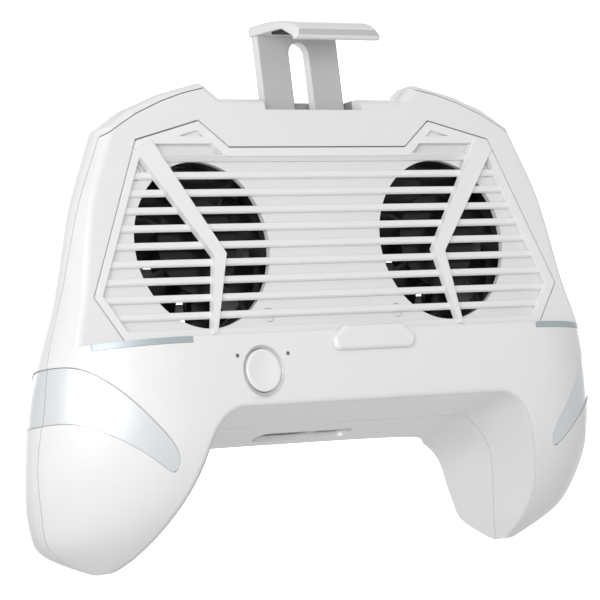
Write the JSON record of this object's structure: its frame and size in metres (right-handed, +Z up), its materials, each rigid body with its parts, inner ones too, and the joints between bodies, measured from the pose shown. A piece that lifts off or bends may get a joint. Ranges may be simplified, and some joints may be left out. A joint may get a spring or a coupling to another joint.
{
  "type": "cooling grip for a phone",
  "caption": "Hand-held phone grip with cooling fans behind a slotted grille, a shelf the phone stands on, a sliding clamp arm and a power button.",
  "frame": {"origin": "middle of the grille's lower edge, on the front face that the phone's back lies against", "axes": "+X to the right as seen from the phone's side, +Y back through the casing, +Z up along the clamp arm"},
  "size_m": [0.1572, 0.0457, 0.1189],
  "materials": {
    "white": "satin white plastic",
    "silver": "silver lacquer on plastic",
    "fan_black": "black plastic",
    "steel": "plain steel",
    "bronze": "sintered bronze",
    "copper": "enamelled copper wire",
    "pad": "soft black rubber",
    "inner_white": "plain plastic",
    "lamp": "tinted clear plastic",
    "board": "green board",
    "chip": "black epoxy",
    "cell": "foil wrap",
    "grey": "grey plastic"
  },
  "bodies": {
    "casing": {"front_shell": "white", "rear_shell": "white", "grille": "white", "fan_plate": "inner_white", "clamp_guide": "inner_white", "stop_post": "steel", "phone_catch": "white", "button_ring": "white", "tact_switch": "chip", "lamp_guides": "lamp", "control_board": "board", "charge_chip": "chip", "drive_chip": "chip", "battery_cell": "cell", "port_board": "board", "port_plate": "grey", "usb_out_socket": "steel", "usb_in_socket": "steel", "fan_housing_left": "fan_black", "fan_bearing_left": "bronze", "fan_coil_left": "copper", "ledge_trim_left": "silver", "grip_band_front_left": "silver", "grip_band_rear_left": "silver", "fan_screw_left_upper": "steel", "fan_screw_left_lower": "steel", "screw_high_left": "steel", "screw_side_left": "steel", "screw_grip_left": "steel", "fan_housing_right": "fan_black", "fan_bearing_right": "bronze", "fan_coil_right": "copper", "ledge_trim_right": "silver", "grip_band_front_right": "silver", "grip_band_rear_right": "silver", "fan_screw_right_upper": "steel", "fan_screw_right_lower": "steel", "screw_high_right": "steel", "screw_side_right": "steel", "screw_grip_right": "steel"},
    "clamp": {"clamp_arm": "white", "hook_pad": "pad"},
    "fan_left": {"fan_impeller_left": "fan_black", "fan_shaft_left": "steel"},
    "fan_right": {"fan_impeller_right": "fan_black", "fan_shaft_right": "steel"},
    "button": {"power_button": "white", "switch_plunger": "inner_white"}
  },
  "joints": [
    {"name": "clamp_slide", "type": "slide", "parent": "casing", "child": "clamp", "axis": [0, 0, 1], "range_m": [-0.013, 0.016]},
    {"name": "fan_spin_left", "type": "hinge", "parent": "casing", "child": "fan_left", "pos_m": [-0.03458, 0.0066, 0.02], "axis": [0, 1, 0], "continuous": true},
    {"name": "fan_spin_right", "type": "hinge", "parent": "casing", "child": "fan_right", "pos_m": [0.03458, 0.0066, 0.02], "axis": [0, 1, 0], "continuous": true},
    {"name": "button_press", "type": "slide", "parent": "casing", "child": "button", "axis": [0, 1, 0], "range_m": [0, 0.0008], "stiffness_N_per_m": 1500, "springref_m": -0.0002}
  ]
}
